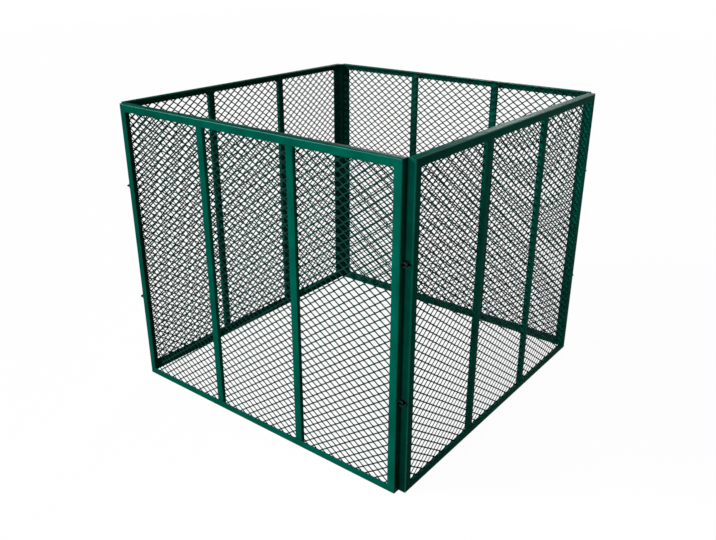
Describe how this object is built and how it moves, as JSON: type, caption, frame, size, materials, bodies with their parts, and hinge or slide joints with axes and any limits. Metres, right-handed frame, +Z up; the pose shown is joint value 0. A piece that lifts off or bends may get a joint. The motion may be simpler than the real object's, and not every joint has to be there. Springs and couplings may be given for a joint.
{
  "type": "metal compost bin",
  "caption": "Square open compost bin of framed diamond-mesh steel panels that hook together at the corners and swing outward like gates.",
  "frame": {"origin": "on the ground in the middle of the square plan, level with the underside of the four panels", "axes": "+Z up; the front panel faces -Y, the right panel +X, the back panel +Y and the left panel -X"},
  "size_m": [1.0446, 1.0446, 0.9],
  "materials": {
    "green_paint": "satin dark bluish green paint on steel angle and tube",
    "mesh_paint": "satin dark bluish green paint on diamond mesh",
    "zinc_steel": "dull zinc-plated steel"
  },
  "bodies": {
    "back_panel": {"back_eye_stile": "green_paint", "back_hook_stile": "green_paint", "back_top_rail": "green_paint", "back_bottom_rail": "green_paint", "back_bar_1": "green_paint", "back_bar_2": "green_paint", "back_mesh": "mesh_paint", "back_lower_eye": "zinc_steel", "back_upper_eye": "zinc_steel", "back_lower_hook": "zinc_steel", "back_upper_hook": "zinc_steel"},
    "left_panel": {"left_eye_stile": "green_paint", "left_hook_stile": "green_paint", "left_top_rail": "green_paint", "left_bottom_rail": "green_paint", "left_bar_1": "green_paint", "left_bar_2": "green_paint", "left_mesh": "mesh_paint", "left_lower_eye": "zinc_steel", "left_upper_eye": "zinc_steel", "left_lower_hook": "zinc_steel", "left_upper_hook": "zinc_steel"},
    "right_panel": {"right_eye_stile": "green_paint", "right_hook_stile": "green_paint", "right_top_rail": "green_paint", "right_bottom_rail": "green_paint", "right_bar_1": "green_paint", "right_bar_2": "green_paint", "right_mesh": "mesh_paint", "right_lower_eye": "zinc_steel", "right_upper_eye": "zinc_steel", "right_lower_hook": "zinc_steel", "right_upper_hook": "zinc_steel"},
    "front_panel": {"front_eye_stile": "green_paint", "front_hook_stile": "green_paint", "front_top_rail": "green_paint", "front_bottom_rail": "green_paint", "front_bar_1": "green_paint", "front_bar_2": "green_paint", "front_mesh": "mesh_paint", "front_lower_eye": "zinc_steel", "front_upper_eye": "zinc_steel", "front_lower_hook": "zinc_steel", "front_upper_hook": "zinc_steel"}
  },
  "joints": [
    {"name": "left_panel_swing", "type": "hinge", "parent": "back_panel", "child": "left_panel", "pos_m": [-0.5113, 0.5113, 0.45], "axis": [0, 0, -1], "range_deg": [0, 175]},
    {"name": "right_panel_swing", "type": "hinge", "parent": "back_panel", "child": "right_panel", "pos_m": [0.5113, 0.5113, 0.45], "axis": [0, 0, 1], "range_deg": [0, 175]},
    {"name": "front_panel_swing", "type": "hinge", "parent": "left_panel", "child": "front_panel", "pos_m": [-0.5113, -0.5113, 0.45], "axis": [0, 0, -1], "range_deg": [0, 175]}
  ]
}
